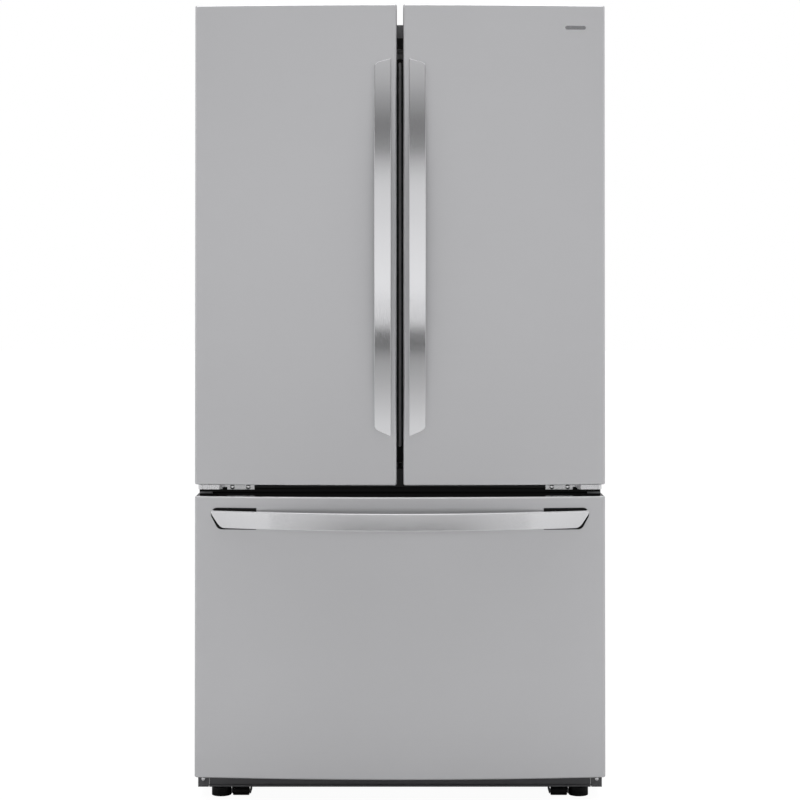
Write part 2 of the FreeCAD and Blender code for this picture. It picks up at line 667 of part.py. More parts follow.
def build_grip(side, s):
    """A door's vertical handle, its ends slanted and rounded."""
    body = new_body()
    mid, half = "(grip_foot + grip_top)/2", "(grip_top - grip_foot)/2"
    face = f"{CROWN} - grip_gap"
    points, arcs = bow_outline(mid, half, GRIP_FRONT, face, "grip_thick", "grip_land", "grip_end")
    flipped = [(outward, lengthwise) for lengthwise, outward in points]
    turned = {i: (radius, (spot[1], spot[0])) for i, (radius, spot) in arcs.items()}
    start = "grip_in" if s > 0 else "-grip_in - grip_wide"
    pad(body, "YZ_Plane", flipped, start, "grip_wide", turned)
    near, far = f"{s}*(grip_in - 1)", f"{s}*(grip_in + grip_wide + 1)"
    deep = (f"-({CROWN}) - 1", "stand + 2")
    pocket(body, "XZ_Plane", [(near, "grip_top"), (far, "grip_top + 1"),
                              (far, "grip_top - grip_slant")], *deep)
    pocket(body, "XZ_Plane", [(near, "grip_foot"), (far, "grip_foot - 1"),
                              (far, "grip_foot + grip_slant_low")], *deep)
    outside = value(f"{s}*(grip_in + grip_wide)")
    fillet(body, "2*grip_round", lambda e: along(e, "y") and abs(middle(e).x - outside) < 0.1)
    face_y = value(face)
    fillet(body, "grip_round/2", lambda e: len(e.Vertexes) == 2 and middle(e).y < face_y - 8
           and e.Length > 300 and middle(e).y < value(f"{GRIP_FRONT} + grip_thick/2"))
    node(f"{side}_door_handle", body)


def build_bar():
    """The drawer's horizontal handle and the black gaskets under its two ends."""
    body = new_body()
    slope = "(bar_half^2/(2*" + BULGE_R + "))"
    face = f"({CROWN} + {slope} - bar_seal - grip_gap)"
    land_in = "(bar_half - bar_land)"
    land_face = f"({CROWN} + {land_in}^2/(2*{BULGE_R}) - bar_seal - grip_gap)"
    tip = f"({face} - bar_end)"
    rise = f"({tip} - {GRIP_FRONT})"
    under = f"({land_face} - {GRIP_FRONT} - bar_thick)"
    points = [("-bar_half", face), ("-bar_half", tip), ("bar_half", tip), ("bar_half", face),
              (land_in, land_face), (f"-{land_in}", land_face)]
    arcs = {
        1: (f"((bar_half^2 + {rise}^2)/(2*{rise}))", ("0", GRIP_FRONT)),
        4: (f"(({land_in}^2 + {under}^2)/(2*{under}))", ("0", f"{GRIP_FRONT} + bar_thick")),
    }
    pad(body, "XY_Plane", points, "bar_foot", "bar_top - bar_foot", arcs)
    deep = (f"-({face}) - 1", "stand + bulge + 2")
    for s in (-1, 1):
        pocket(body, "XZ_Plane", [
            (f"{s}*bar_half", "bar_top + 1"),
            (f"{s}*(bar_half + 1)", "bar_top"),
            (f"{s}*(bar_half + 1)", "bar_foot - 1"),
            (f"{s}*(bar_half - bar_slant)", "bar_foot - 1"),
        ], *deep)
    middle_z = value("(bar_foot + bar_top)/2")

    def end_corner(edge):
        spot = middle(edge)
        return (edge.Length < 16 and abs(spot.x) > value(land_in)
                and abs(spot.z - middle_z) > 15)

    fillet(body, "bar_round", end_corner)
    node("drawer_handle", body)

    pads = []
    gain = f"(bar_rim*({face} - {land_face})/bar_land)"
    near, far = f"({land_face} - {gain})", f"({face} + {gain})"
    for s in (-1, 1):
        seal = new_body()
        a, b = f"{s}*({land_in} - bar_rim)", f"{s}*(bar_half + bar_rim)"
        pad(seal, "XY_Plane", [
            (a, f"{near} + 0.2"), (b, f"{far} + 0.2"),
            (b, f"{far} + bar_seal + 0.1"), (a, f"{near} + bar_seal + 0.1"),
        ], "bar_foot - bar_rim", "bar_top - bar_foot + 2*bar_rim")
        pocket(seal, "XZ_Plane", [
            (f"{s}*(bar_half + 2*bar_rim + 1)", "bar_top + bar_rim"),
            (f"{s}*(bar_half + 2*bar_rim + 1)", "bar_foot - bar_rim - 1"),
            (f"{s}*(bar_half - bar_slant + bar_rim)", "bar_foot - bar_rim - 1"),
            (f"{s}*(bar_half + bar_rim)", "bar_top + bar_rim"),
        ], f"-({CROWN} + bulge)", "stand")
        fillet(seal, "bar_round + bar_rim", end_corner)
        pads.append(seal)
    node("drawer_handle_gaskets", group(pads))


# ---- freezer drawer ----

def build_drawer():
    x0, x1 = "-wide/2", "wide/2"
    build_skin("drawer_skin", x0, x1, "drawer_foot", "drawer_top", [])
    top = panel_block(x0, x1, "drawer_top - drawer_cap", "drawer_top - skin", "inset",
                      "door_rear", "fold - skin", ("drawer_top - skin",))
    foot = panel_block(x0, x1, "drawer_foot + skin", "drawer_foot + drawer_cap", "inset",
                       "door_rear", "fold - skin", ("drawer_foot + skin",))
    node("drawer_caps", group([top, foot]))
    node("drawer_foam", panel_block(x0, x1, "drawer_foot + drawer_cap",
                                    "drawer_top - drawer_cap", "inset", "door_rear - plate"))
    sheet = box((f"{x0} + inset", f"{x1} - inset"), ("door_rear - plate", "door_rear"),
                ("drawer_foot + drawer_cap", "drawer_top - drawer_cap"))
    dam = ring(("-dike_out", "dike_out"), ("door_rear", "case_front - 1"),
               ("ice_foot + 8", "ice_top - 8"), ("dike_w", "dike_w", "dike_w", "dike_w"))
    node("drawer_liner", cut(join([sheet, dam]), [
        box((f"{s}*(inner_half - rail_w)", f"{s}*basket_half"), ("door_rear", "case_front"),
            ("rail_foot", "rail_top")) for s in (-1, 1)]))
    node("drawer_gasket", ring(("-seal_side", "seal_side"), ("door_rear", "seal_rear"),
                               ("drawer_foot + 6", "drawer_top - 6"),
                               ("seal", "seal", "seal", "seal")))
    build_bar()

    bucket = tray(("-basket_half", "basket_half"), ("basket_front", "basket_rear"),
                  ("basket_foot", "basket_top"))
    slots = [box((f"{i}*slot_pitch - slot_wide/2", f"{i}*slot_pitch + slot_wide/2"),
                 ("basket_rear - wall - 1", "basket_rear + 1"),
                 ("basket_top - rim - slot_high", "basket_top - rim")) for i in range(-7, 8)]
    node("drawer_basket", cut(bucket, slots))
    node("freezer_tray", tray(("-basket_half", "basket_half"), ("tray_front", "tray_rear"),
                              ("basket_top + 0.5", "tray_top")))


# ---- drawers in the fresh food compartment ----

def pull_box(x, foot, top):
    """A clear box with a thick front that has a finger recess along its top edge."""
    x0, x1 = ordered(*x)
    body = tray(x, ("box_front", "box_rear"), (foot, top))
    front = box(x, ("box_front", "box_front + front_thick"), (foot, top))
    recess = box((f"{x0} + pull_end", f"{x1} - pull_end"),
                 ("box_front - 1", "box_front + front_thick - wall"),
                 (f"{top} - pull_deep - pull_high", f"{top} - pull_deep"))
    return cut(join([body, front]), [recess])


def build_food_drawers():
    node("pantry_drawer", pull_box(("-box_half", "box_half"), "pantry_foot", "pantry_top"))
    for side, s in (("left", -1), ("right", 1)):
        node(f"{side}_crisper", pull_box((f"{s}*crisper_gap", f"{s}*box_half"), "crisper_foot",
                                         "crisper_top"))


# ---- cooling ----

def fan(axis, centre, radius, ends, blades):
    """A hub with flat pitched blades, bored for its shaft."""
    low, high = ends
    hub = rod(axis, centre, "hub_r", ends)
    parts = [hub]
    side = "xyz".index(axis)
    for i in range(blades):
        turn = 360 * i / blades
        wide = f"{radius}*0.33"
        vane = doc.addObject("Part::Box", "vane")
        vane.setExpression("Length", bound(f"{radius} - hub_r + 2"))
        vane.setExpression("Width", bound(wide))
        vane.setExpression("Height", bound("blade"))
        pitch = FreeCAD.Rotation(Vector(1, 0, 0), BLADE_PITCH)
        spin = FreeCAD.Rotation(Vector(0, 0, 1), turn)
        place = list(centre)
        place.insert(side, f"(({low}) + ({high}))/2")
        spot = Vector(*[value(c) for c in place])
        heart = pitch.multVec(Vector(0, value(wide) / 2, value("blade") / 2))
        inner = FreeCAD.Placement(Vector(value("hub_r - 2"), 0, 0) - heart, pitch)
        vane.Placement = FreeCAD.Placement(spot, TURNS[axis] * spin).multiply(inner)
        parts.append(vane)
    return cut(join(parts), [rod(axis, centre, "shaft + run_gap", (f"{low} - 9", f"{high} + 9"))])


def finned_coil(x_ends, rows, foot, levels, radius, fins, fin_y, fin_z):
    """Straight pipe runs joined by turns at alternating ends, with plate fins across them."""
    parts = [box((f"{x} - fin/2", f"{x} + fin/2"), fin_y, fin_z) for x in fins]
    for y in rows:
        for i in range(levels):
            z = f"{foot} + {i}*turn"
            parts.append(rod("x", (y, z), radius, x_ends))
            if i < levels - 1:
                x = x_ends[1 - i % 2]
                parts.append(rod("z", (x, y), radius, (z, f"{z} + turn")))
                parts.append(ball((x, y, z), radius))
                parts.append(ball((x, y, f"{z} + turn"), radius))
    return join(parts)


def build_evaporator():
    fins = range(-280, 281, 35)
    node("evaporator", finned_coil(
        ("-evap_half", "evap_half"), ["evap_y"], "ledge + 22", 5, "evap_pipe", fins,
        ("evap_y - evap_deep/2", "evap_y + evap_deep/2"), ("ledge + 6", "evap_top")))

    sheet = ("cover_y", "cover_y + cover_thick")
    through = ("cover_y - 1", "cover_y + cover_thick + 1")
    plate = box(("-inner_half + 0.5", "inner_half - 0.5"), sheet, ("ledge + 0.5", "ice_top - 0.5"))
    window = rod("y", ("0", "fan_z"), "fan_r + 6", through)
    grille = [box((f"{i}*grille_pitch - grille_wide/2", f"{i}*grille_pitch + grille_wide/2"),
                  through, ("ledge + 14", "ledge + 14 + grille_high")) for i in range(-5, 6)]
    spokes = [box(("-fan_r - 8", "fan_r + 8"), sheet, ("fan_z - spoke/2", "fan_z + spoke/2")),
              box(("-spoke/2", "spoke/2"), sheet, ("fan_z - fan_r - 8", "fan_z + fan_r + 8"))]
    shaft = rod("y", ("0", "fan_z"), "shaft", ("cover_y + 1", "fan_back + 4"))
    node("evaporator_cover", join([cut(plate, [window] + grille)] + spokes + [shaft]))
    node("evaporator_fan", fan("y", ("0", "fan_z"), "fan_r", ("fan_front", "fan_back"), 5))


def build_machine():
    """Compressor, condenser and the rest of the machine compartment."""
    middle_z = "pump_foot + pump_high/2"
    spot = ("pump_x", "pump_y")
    ends = ("pump_foot + dome", "pump_foot + pump_high - rise")
    shell = [rod("z", spot, "pump_r", ends),
             rod("z", spot, "pump_r + 3", (f"{middle_z} - 4", f"{middle_z} + 4"))]
    for z in ends:
        cap = doc.addObject("Part::Ellipsoid", "cap")
        cap.setExpression("Radius1", bound("dome"))
        cap.setExpression("Radius2", bound("pump_r"))
        cap.setExpression("Radius3", bound("pump_r"))
        for side, formula in zip("xyz", spot + (z,)):
            cap.setExpression(f"Placement.Base.{side}", bound(formula))
        shell.append(cap)
    feet = box(("pump_x - 96", "pump_x + 96"), ("pump_y - 62", "pump_y + 62"),
               ("pump_foot - 3", "pump_foot + 1"))
    post = rod("z", spot, "pump_r - 20", ("pump_foot - 1", "pump_foot + dome"))
    terminal = box(("pump_x - 30", "pump_x + 30"), ("pump_y + pump_r - 12", "pump_y + pump_r + 22"),
                   ("pump_foot + 40", "pump_foot + 95"))
    pads = [rod("z", (f"pump_x + {i}*78", f"pump_y + {j}*48"), "12",
                ("deck + deck_thick", "pump_foot - 2")) for i in (-1, 1) for j in (-1, 1)]
    outlet = ("pump_x", "pump_y - 40")
    inlet = ("pump_x - 30", "pump_y")
    stub_top = "pump_foot + pump_high - stub"
    stubs = [rod("z", place, "pipe + 2", (middle_z, stub_top)) for place in (outlet, inlet)]
    node("compressor", join(shell + [feet, post, terminal] + pads + stubs))

    node("condenser", finned_coil(
        ("coil_left", "coil_right"), ["coil_front + 25", "coil_rear - 25"], "coil_foot + 18", 4,
        "pipe + 1", range(30, 271, 20), ("coil_front", "coil_rear"), ("coil_foot", "coil_top")))
    node("drain_pan", tray(("coil_left + 10", "coil_right + 20"),
                           ("coil_front - 20", "coil_rear + 20"), ("pan_foot", "pan_top")))
    node("condenser_fan", fan("x", ("cfan_y", "cfan_z"), "cfan_r",
                              ("cfan_x - 12", "cfan_x + 12"), 5))

    ceiling = "ledge - machine_gap"
    node("refrigerant_tubes", group([
        tube([outlet + (stub_top,),
              outlet + (f"{ceiling} - 20",),
              ("coil_left - 10", "pump_y - 40", f"{ceiling} - 20"),
              ("coil_left - 10", "pump_y - 40", "coil_top + 8"),
              ("coil_left + 60", "pump_y - 40", "coil_top + 8")], "pipe"),
        tube([inlet + (stub_top,), inlet + (ceiling,)], "pipe + 1"),
    ]))

    through = ("case_back - 1", "case_back + sheet + 1")
    vents = [box((f"{i}*vent_pitch - vent_wide/2", f"{i}*vent_pitch + vent_wide/2"), through,
                 (f"vent_foot + {j}*vent_step", f"vent_foot + vent_high + {j}*vent_step"))
             for i in range(-6, 7) for j in range(8)]
    cover = box(("-case_wide/2", "case_wide/2"), ("case_back", "case_back + sheet"),
                ("case_foot + 16", ceiling))
    gland = ("gland_x", "gland_z")
    node("machine_cover", cut(cover, vents + [rod("y", gland, "gland_r + 0.2", through)]))
    sleeve = [rod("y", gland, "gland_r", ("case_back - 22", "case_back + sheet")),
              rod("y", gland, "gland_flange", ("case_back - 3", "case_back"))]
    node("power_inlet", cut(join(sleeve), [
        rod("y", gland, "gland_bore", ("case_back - 30", "case_back + 9"))]))


def tube(points, radius):
    """Round tube along axis-parallel runs, with a ball at each bend."""
    parts = []
    for start, end in zip(points, points[1:]):
        side = next(i for i in range(3) if start[i] != end[i])
        centre = [c for i, c in enumerate(start) if i != side]
        parts.append(rod("xyz"[side], centre, radius, (start[side], end[side])))
    parts += [ball(point, radius) for point in points[1:-1]]
    return join(parts)


# ---- base ----

def wheel_fork(x, y, z, wide, trail="0"):
    """Two cheeks and an axle; the cheeks rise from a point that trails behind the wheel."""
    half = f"({wide}/2)"
    parts = [rod("x", (y, z), "axle", (f"{x} - {half} - 1 - cheek", f"{x} + {half} + 1 + cheek"))]
    for s in (-1, 1):
        sides = (f"{x} + {s}*({half} + 1)", f"{x} + {s}*({half} + 1 + cheek)")
        parts.append(box(sides, (f"{y} - arm", f"{y} + 2*arm + {trail}"),
                         (f"{z} - arm", f"{z} + arm")))
        parts.append(box(sides, (f"{y} - 2*arm + {trail}", f"{y} + 2*arm + {trail}"),
                         (f"{z} - arm", "foam_foot - 1")))
    return parts


def build_base():
    parts = []
    for s in (-1, 1):
        edge = "(case_wide/2 - sheet)"
        parts.append(box((f"{s}*{edge}", f"{s}*(roll_x - roll_w/2 - 12)"),
                         ("foam_front", "case_back"), ("foam_foot - 4", "foam_foot - 1")))
        parts.append(box((f"{s}*{edge}", f"{s}*({edge} - 3)"), ("foam_front", "case_back"),
                         ("web_foot", "foam_foot - 1")))
        parts += wheel_fork(f"{s}*roll_x", "roll_y", "roll_z", "roll_w", "trail")
        parts += wheel_fork(f"{s}*back_x", "back_y", "back_r", "back_w")
        parts.append(rod("z", (f"{s}*leg_x", "leg_y"), "stud + 3", ("leg_pad + 14",
                                                                   "foam_foot - 3")))
        parts.append(box((f"{s}*corner_out", f"{s}*corner_in"), ("kick_front", "case_front"),
                         ("kick_foot", "kick_top")))
        parts.append(box((f"{s}*{edge}", f"{s}*corner_in"), ("case_front - 1", "foam_front + 2"),
                         ("kick_foot", "kick_top")))
    bar = box(("-kick_half + 2", "kick_half - 2"), ("foam_front", "foam_front + 3"),
              ("bar_web", "foam_foot - 1"))
    room_front = "hump_foot + machine_gap + 2"
    room = (room_front, "case_back - 1")
    deck = box(("-deck_half", "deck_half"), room, ("deck", "deck + deck_thick"))
    step = box(("-deck_half - 20", "deck_half + 20"), (room_front, f"{room_front} + deck_thick"),
               ("deck", "foam_foot - 1"))
    sides = [box((f"{s}*deck_half", f"{s}*(deck_half + deck_thick)"), room,
                 ("deck", "foam_foot - 1")) for s in (-1, 1)]
    joiners = [box((f"{s}*deck_half", f"{s}*(roll_x - roll_w/2 - 11)"), room,
                   ("foam_foot - 4", "foam_foot - 1")) for s in (-1, 1)]
    post = box(("cfan_x + 34", "cfan_x + 40"), ("cfan_y - 14", "cfan_y + 14"),
               ("deck + 1", "cfan_z + 18"))
    motor = rod("x", ("cfan_y", "cfan_z"), "hub_r", ("cfan_x + 16", "cfan_x + 36"))
    shaft = rod("x", ("cfan_y", "cfan_z"), "shaft", ("cfan_x - 14", "cfan_x + 20"))
    frame = join(parts + [bar, deck, step, post, motor, shaft] + sides + joiners)
    wells = [rod("z", (f"{s}*leg_x", "leg_y"), "stud + run_gap", ("0", "foam_foot"))
             for s in (-1, 1)]
    node("base_frame", cut(frame, wells))

    plate = box(("-kick_half", "kick_half"), ("kick_front + 2", "kick_front + 4"),
                ("kick_foot", "kick_top"))
    hem = box(("-kick_half", "kick_half"), ("kick_front - 1", "kick_front + 4"),
              ("kick_foot", "kick_foot + kick_lip"))
    node("kick_plate", join([plate, hem]))

    for side, s in (("left", -1), ("right", 1)):
        spot = (f"{s}*leg_x", "leg_y")
        node(f"{side}_levelling_leg", join([
            rod("z", spot, "leg_r", ("0", "leg_pad")),
            rod("z", spot, "stud", ("leg_pad - 1", "foam_foot - 6"))]))
    for label, x, y, z, radius, wide in (
            ("front_rollers", "roll_x", "roll_y", "roll_z", "roll_r", "roll_w"),
            ("rear_rollers", "back_x", "back_y", "back_r", "back_r", "back_w")):
        wheels = []
        for s in (-1, 1):
            ends = (f"{s}*{x} - {wide}/2", f"{s}*{x} + {wide}/2")
            wheels.append(cut(rod("x", (y, z), radius, ends),
                              [rod("x", (y, z), "axle + run_gap", (f"{s}*{x} - {wide}",
                                                                  f"{s}*{x} + {wide}"))]))
        node(label, group(wheels))


build_case()
build_foam()
build_liners()
build_shelves()
build_control_panel()
build_rails()
hinges, hoods = build_top_hinges()
node("top_hinges", group(hinges))
node("hinge_covers", group(hoods))
build_mid_hinges()
build_screws()
build_door("left", -1)
build_door("right", 1)
build_mullion()
build_drawer()
build_food_drawers()
build_evaporator()
build_machine()
build_base()

doc.recompute()
for piece in doc.Objects:
    if "Invalid" in piece.State or "Error" in piece.State:
        raise RuntimeError(f"{piece.Label} failed: {piece.State}")
for piece in NODES:
    if piece.Shape.isNull() or not piece.Shape.isValid() or not piece.Shape.Solids:
        raise RuntimeError(f"{piece.Label} has no valid shape")

os.makedirs("parts", exist_ok=True)
for piece in NODES:
    piece.Shape.exportStep(f"parts/{piece.Label}.step")
print(len(NODES), "sub-parts")
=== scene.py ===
"""French door refrigerator: materials, details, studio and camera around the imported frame.

Metres, in the CAD's own frame: +X to the right of the front, +Y to the back, +Z up.
"""
import json
import math

import bpy
from mathutils import Euler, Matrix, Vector

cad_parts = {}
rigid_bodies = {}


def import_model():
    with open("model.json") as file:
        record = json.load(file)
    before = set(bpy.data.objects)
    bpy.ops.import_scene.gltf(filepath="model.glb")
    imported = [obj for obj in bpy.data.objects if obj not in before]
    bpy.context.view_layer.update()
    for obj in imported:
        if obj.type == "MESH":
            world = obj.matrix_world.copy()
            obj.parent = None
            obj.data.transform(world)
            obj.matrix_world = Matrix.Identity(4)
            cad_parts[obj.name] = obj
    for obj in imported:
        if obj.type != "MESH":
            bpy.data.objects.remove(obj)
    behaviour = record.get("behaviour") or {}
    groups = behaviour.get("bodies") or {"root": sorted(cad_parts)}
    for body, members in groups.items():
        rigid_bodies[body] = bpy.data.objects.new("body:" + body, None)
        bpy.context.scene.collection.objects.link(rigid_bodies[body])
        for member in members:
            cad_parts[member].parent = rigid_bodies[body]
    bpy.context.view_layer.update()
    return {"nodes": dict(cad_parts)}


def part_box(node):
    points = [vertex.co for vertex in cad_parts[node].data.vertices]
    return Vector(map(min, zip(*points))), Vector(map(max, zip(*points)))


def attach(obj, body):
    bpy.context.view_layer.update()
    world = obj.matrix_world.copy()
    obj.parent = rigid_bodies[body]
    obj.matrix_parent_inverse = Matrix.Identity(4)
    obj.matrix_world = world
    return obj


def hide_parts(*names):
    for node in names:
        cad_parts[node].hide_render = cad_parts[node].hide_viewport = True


# ---- camera and studio ----
CAMERA_AWAY = 4.5          # from the doors' side edges to the lens
CAMERA_HIGH = 1.150
CAMERA_LENS = 91.5
CAMERA_RISE = 0.5          # degrees upward
CAMERA_SHIFT = -0.1672
DOOR_EDGE_Y = -0.372

for stray in list(bpy.data.objects):
    bpy.data.objects.remove(stray)

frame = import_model()
nodes = frame["nodes"]
scene = bpy.context.scene


# ---- materials ----

def material(name, color, metallic=0.0, roughness=0.5, **sockets):
    """A Principled material; sockets are set on the shader itself."""
    mat = bpy.data.materials.new(name)
    mat.use_nodes = True
    shader = mat.node_tree.nodes["Principled BSDF"]
    shader.inputs["Base Color"].default_value = (*color, 1)
    shader.inputs["Metallic"].default_value = metallic
    shader.inputs["Roughness"].default_value = roughness
    for key, setting in sockets.items():
        shader.inputs[key.replace("_", " ")].default_value = setting
    return mat


def add(mat, kind, **settings):
    """A new node of the material's tree, with its settings."""
    node = mat.node_tree.nodes.new(kind)
    for key, setting in settings.items():
        setattr(node, key, setting)
    return node


def wire(mat, source, target):
    """A link between two sockets of the material's tree."""
    mat.node_tree.links.new(source, target)


def stretched_noise(mat, scale, detail):
    """Noise over the object's own coordinates, scaled per axis."""
    place = add(mat, "ShaderNodeTexCoord")
    mapping = add(mat, "ShaderNodeMapping")
    mapping.inputs["Scale"].default_value = scale
    noise = add(mat, "ShaderNodeTexNoise")
    noise.inputs["Scale"].default_value = 1.0
    noise.inputs["Detail"].default_value = detail
    wire(mat, place.outputs["Object"], mapping.inputs["Vector"])
    wire(mat, mapping.outputs["Vector"], noise.inputs["Vector"])
    return noise.outputs["Fac"]


# the stretch of its range that a noise mostly fills
NOISE_LOW, NOISE_HIGH = 0.3, 0.7


def spread(mat, value, low, high):
    """Maps noise around its middle onto low to high."""
    ranged = add(mat, "ShaderNodeMapRange")
    ranged.inputs["From Min"].default_value = NOISE_LOW
    ranged.inputs["From Max"].default_value = NOISE_HIGH
    ranged.inputs["To Min"].default_value = low
    ranged.inputs["To Max"].default_value = high
    wire(mat, value, ranged.inputs["Value"])
    return ranged.outputs["Result"]


def vary_roughness(mat, value, low, high):
    shader = mat.node_tree.nodes["Principled BSDF"]
    wire(mat, spread(mat, value, low, high), shader.inputs["Roughness"])


def vary_color(mat, value, first, second):
    shader = mat.node_tree.nodes["Principled BSDF"]
    ramp = add(mat, "ShaderNodeValToRGB")
    ramp.color_ramp.elements[0].position = NOISE_LOW
    ramp.color_ramp.elements[1].position = NOISE_HIGH
    ramp.color_ramp.elements[0].color = (*first, 1)
    ramp.color_ramp.elements[1].color = (*second, 1)
    wire(mat, value, ramp.inputs["Fac"])
    wire(mat, ramp.outputs["Color"], shader.inputs["Base Color"])


def bump(mat, value, strength, distance):
    shader = mat.node_tree.nodes["Principled BSDF"]
    relief = add(mat, "ShaderNodeBump")
    relief.inputs["Strength"].default_value = strength
    relief.inputs["Distance"].default_value = distance
    wire(mat, value, relief.inputs["Height"])
    wire(mat, relief.outputs["Normal"], shader.inputs["Normal"])


def brushed_door_steel():
    """Fine horizontal brushing, softly blurred reflections."""
    mat = material("brushed_door_steel", (0.66, 0.66, 0.67), 1.0, 0.45)
    grain = stretched_noise(mat, (3, 3, 2600), 6)
    cloud = stretched_noise(mat, (2.2, 2.2, 1.4), 2)
    vary_color(mat, cloud, (0.652, 0.652, 0.662), (0.668, 0.668, 0.678))
    vary_roughness(mat, grain, 0.41, 0.49)
    bump(mat, grain, 0.05, 0.0002)
    return mat


def polished_handle_steel():
    """Satin polish with faint lengthwise brushing."""
    mat = material("polished_handle_steel", (0.76, 0.76, 0.77), 1.0, 0.13)
    grain = stretched_noise(mat, (900, 900, 6), 5)
    vary_roughness(mat, grain, 0.10, 0.17)
    bump(mat, grain, 0.03, 0.0001)
    return mat


def polished_bar_steel():
    """The drawer handle's finish, brushed along its own length."""
    mat = material("polished_bar_steel", (0.80, 0.80, 0.81), 1.0, 0.13)
    grain = stretched_noise(mat, (6, 900, 900), 5)
    vary_roughness(mat, grain, 0.10, 0.17)
    bump(mat, grain, 0.03, 0.0001)
    return mat


def grained(name, color, roughness, grain_scale, depth, spots=0.06, metallic=0.0, **sockets):
    """Moulded or painted surface with fine grain and slight unevenness."""
    mat = material(name, color, metallic, roughness, **sockets)
    grain = stretched_noise(mat, (grain_scale,) * 3, 3)
    cloud = stretched_noise(mat, (5, 5, 5), 2)
    darker = tuple(c * (1 - spots) for c in color)
    lighter = tuple(min(1, c * (1 + spots)) for c in color)
    vary_color(mat, cloud, darker, lighter)
    vary_roughness(mat, grain, roughness * 0.85, min(1, roughness * 1.15))
    bump(mat, grain, 0.25, depth)
    return mat


def clear_plastic(name, color, roughness, alpha):
    """See-through plastic or glass with a slight haze."""
    mat = material(name, color, 0.0, roughness, Transmission_Weight=0.85, IOR=1.46, Alpha=alpha)
    haze = stretched_noise(mat, (14, 14, 14), 3)
    vary_roughness(mat, haze, roughness * 0.7, roughness * 1.3)
    return mat


def mill_aluminium():
    """Bare aluminium fins and tubes."""
    mat = material("mill_aluminium", (0.78, 0.79, 0.80), 1.0, 0.35)
    grain = stretched_noise(mat, (500, 500, 20), 4)
    vary_roughness(mat, grain, 0.26, 0.44)
    bump(mat, grain, 0.1, 0.0002)
    return mat


def plated(name, color, roughness):
    """Zinc or nickel plating with a faint mottle."""
    mat = material(name, color, 1.0, roughness)
    mottle = stretched_noise(mat, (120, 120, 120), 5)
    vary_color(mat, mottle, tuple(c * 0.9 for c in color), color)
    vary_roughness(mat, mottle, roughness * 0.8, roughness * 1.25)
    return mat


def light_panel():
    """A softly glowing lens."""
    mat = material("lamp_diffuser", (0.95, 0.95, 0.95), 0.0, 0.4)
    shader = mat.node_tree.nodes["Principled BSDF"]
    shader.inputs["Emission Color"].default_value = (1.0, 0.98, 0.94, 1)
    shader.inputs["Emission Strength"].default_value = 2.0
    return mat


STEEL = brushed_door_steel()
HANDLE = polished_handle_steel()
BAR = polished_bar_steel()
CASE = grained("case_paint", (0.25, 0.253, 0.26), 0.40, 900, 0.0002)
# near black painted shade, for the liners' front lips and the strips by the drawer, which lie in
# deep shade
SHADE_BLACK = grained("flange_painted_shade", (0.005, 0.005, 0.005), 0.35, 900, 0.0001,
              Specular_IOR_Level=0.2)
LINER = grained("liner_plastic", (0.86, 0.87, 0.88), 0.22, 250, 0.00008, 0.015)
FOAM = grained("foam", (0.85, 0.76, 0.46), 0.9, 300, 0.001)
SEAL = grained("seal_rubber", (0.16, 0.16, 0.165), 0.55, 700, 0.0001)
CAP = grained("cap_plastic", (0.055, 0.055, 0.058), 0.42, 1200, 0.0001)
GLOSS = grained("gloss_black", (0.003, 0.003, 0.003), 0.06, 60, 0.00002, 0.05,
                Specular_IOR_Level=0.15)
FLAP = grained("flap_black", (0.004, 0.004, 0.004), 0.35, 900, 0.0001,
               Specular_IOR_Level=0.15)
STRIP = grained("strip_grey", (0.60, 0.60, 0.61), 0.34, 900, 0.00005)
CLEAR = clear_plastic("clear_plastic", (0.93, 0.96, 0.98), 0.05, 0.55)
GLASS = clear_plastic("shelf_glass", (0.88, 0.97, 0.95), 0.02, 0.6)
FRAME = grained("frame_grey", (0.60, 0.62, 0.64), 0.3, 700, 0.0001)
BASKET = grained("basket_plastic", (0.80, 0.82, 0.84), 0.25, 300, 0.0001, 0.02)
ZINC = plated("zinc_plate", (0.62, 0.63, 0.64), 0.32)
SCREW = plated("bright_plate", (0.86, 0.86, 0.87), 0.16)
HINGE = plated("hinge_plate", (0.86, 0.86, 0.87), 0.28)
KICK = grained("kick_paint", (0.10, 0.10, 0.104), 0.36, 900, 0.0001)
METAL = mill_aluminium()
COPPER = plated("copper_tube", (0.80, 0.42, 0.27), 0.28)
ENAMEL = grained("compressor_enamel", (0.012, 0.012, 0.013), 0.18, 120, 0.0001)
BLACK = grained("black_plastic", (0.022, 0.022, 0.023), 0.48, 1100, 0.0001)
FOOT = grained("foot_black", (0.006, 0.006, 0.006), 0.55, 900, 0.0001,
               Specular_IOR_Level=0.15)
LAMP = light_panel()
BADGE = plated("badge_plate", (0.30, 0.30, 0.31), 0.22)

